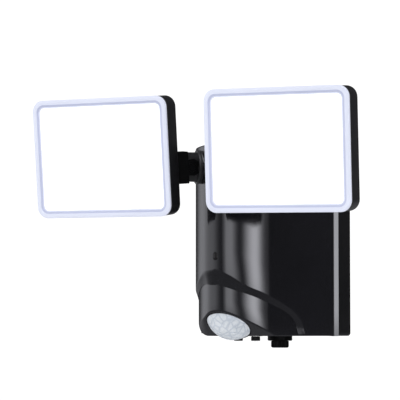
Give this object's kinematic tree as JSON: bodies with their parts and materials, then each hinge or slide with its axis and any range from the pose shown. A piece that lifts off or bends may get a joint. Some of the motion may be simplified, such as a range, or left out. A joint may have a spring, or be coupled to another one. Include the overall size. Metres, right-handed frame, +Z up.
{
  "type": "security floodlight",
  "caption": "Wall light with two adjustable LED panel heads on hinged arms, a bow-shaped body, a motion sensor dome, setting dials and a cable gland.",
  "frame": {"origin": "centre of the four wall screws, on the wall plane behind the middle of the body", "axes": "+Z up, -Y out of the wall towards the viewer, +X to the right seen from the front"},
  "size_m": [0.3271, 0.1934, 0.2298],
  "materials": {
    "cover_black": "high gloss moulded black",
    "head_black": "satin gloss moulded black",
    "arm_black": "fine textured black",
    "knuckle_grey": "satin dark grey",
    "dial_plastic": "matt black",
    "rubber": "matt",
    "bezel_white": "lavender white, smooth",
    "lit_panel": "milky, evenly lit",
    "lens_white": "milky polyethylene",
    "light_guide": "clear acrylic",
    "window_tint": "smoked",
    "steel": "zinc plated",
    "heat_spreader": "mill finish",
    "board_green": "solder mask",
    "board_white": "white solder mask",
    "led_yellow": "phosphor gel",
    "ring_dark": "matt",
    "part_blue": "moulded",
    "driver_mixed": "taped windings",
    "sensor_tan": "glazed",
    "terminal_grey": "matt"
  },
  "bodies": {
    "body": {"wall_plate": "steel", "rear_case": "cover_black", "case_gasket": "rubber", "case_screws": "steel", "plate_screws": "steel", "front_cover": "cover_black", "sensor_housing": "cover_black", "sensor_lens": "lens_white", "lens_ring": "ring_dark", "pir_sensor": "steel", "pir_board": "board_green", "light_window": "window_tint", "photocell": "sensor_tan", "control_board": "board_green", "dial_pots": "part_blue", "driver_board": "board_green", "driver_parts": "driver_mixed", "terminal_block": "terminal_grey", "gland_base": "arm_black", "gland_seal": "rubber", "gland_nut": "dial_plastic", "left_arm_socket": "arm_black", "left_arm_washer": "rubber", "right_arm_socket": "arm_black", "right_arm_washer": "rubber"},
    "left_knuckle": {"left_arm_knuckle": "knuckle_grey", "left_arm_nut": "steel"},
    "left_link": {"left_arm_link": "arm_black", "left_knuckle_bolt": "steel", "left_knuckle_nut": "steel"},
    "left_head": {"left_pan_pin": "steel", "left_head_housing": "head_black", "left_head_gasket": "rubber", "left_head_bezel": "bezel_white", "left_diffuser": "lit_panel", "left_light_guide": "light_guide", "left_led_board": "board_white", "left_led_chips": "led_yellow", "left_heat_spreader": "heat_spreader", "left_head_screws": "steel"},
    "right_knuckle": {"right_arm_knuckle": "knuckle_grey", "right_arm_nut": "steel"},
    "right_link": {"right_arm_link": "arm_black", "right_knuckle_bolt": "steel", "right_knuckle_nut": "steel"},
    "right_head": {"right_pan_pin": "steel", "right_head_housing": "head_black", "right_head_gasket": "rubber", "right_head_bezel": "bezel_white", "right_diffuser": "lit_panel", "right_light_guide": "light_guide", "right_led_board": "board_white", "right_led_chips": "led_yellow", "right_heat_spreader": "heat_spreader", "right_head_screws": "steel"},
    "dial_left_body": {"dial_left": "dial_plastic"},
    "dial_right_body": {"dial_right": "dial_plastic"}
  },
  "joints": [
    {"name": "left_arm_swivel", "type": "hinge", "parent": "body", "child": "left_knuckle", "pos_m": [-0.0308, -0.1213, 0.0678], "axis": [-0.7071, -0.7071, 0], "range_deg": [-9.3, 20.7]},
    {"name": "left_arm_tilt", "type": "hinge", "parent": "left_knuckle", "child": "left_link", "pos_m": [-0.0308, -0.1213, 0.0678], "axis": [0.7036, -0.7036, -0.0993], "range_deg": [-10.2, 10.8]},
    {"name": "left_head_pan", "type": "hinge", "parent": "left_link", "child": "left_head", "pos_m": [-0.09229, -0.14669, 0.06581], "axis": [0.0183, -0.1218, 0.9924], "range_deg": [-39.6, 2.4]},
    {"name": "right_arm_swivel", "type": "hinge", "parent": "body", "child": "right_knuckle", "pos_m": [0.0308, -0.1213, 0.0678], "axis": [-0.7071, 0.7071, 0], "range_deg": [-12.5, 17.5]},
    {"name": "right_arm_tilt", "type": "hinge", "parent": "right_knuckle", "child": "right_link", "pos_m": [0.0308, -0.1213, 0.0678], "axis": [0.7064, 0.7064, 0.0436], "range_deg": [-10.5, 10.5]},
    {"name": "right_head_pan", "type": "hinge", "parent": "right_link", "child": "right_head", "pos_m": [0.09218, -0.14677, 0.06407], "axis": [-0.0247, 0.0862, -0.996], "range_deg": [-30.9, 11.1]},
    {"name": "dial_left_turn", "type": "hinge", "parent": "body", "child": "dial_left_body", "pos_m": [-0.0093, -0.0715, -0.0875], "axis": [0, 0, -1], "range_deg": [-135, 135]},
    {"name": "dial_right_turn", "type": "hinge", "parent": "body", "child": "dial_right_body", "pos_m": [0.0093, -0.0715, -0.0875], "axis": [0, 0, -1], "range_deg": [-135, 135]}
  ]
}
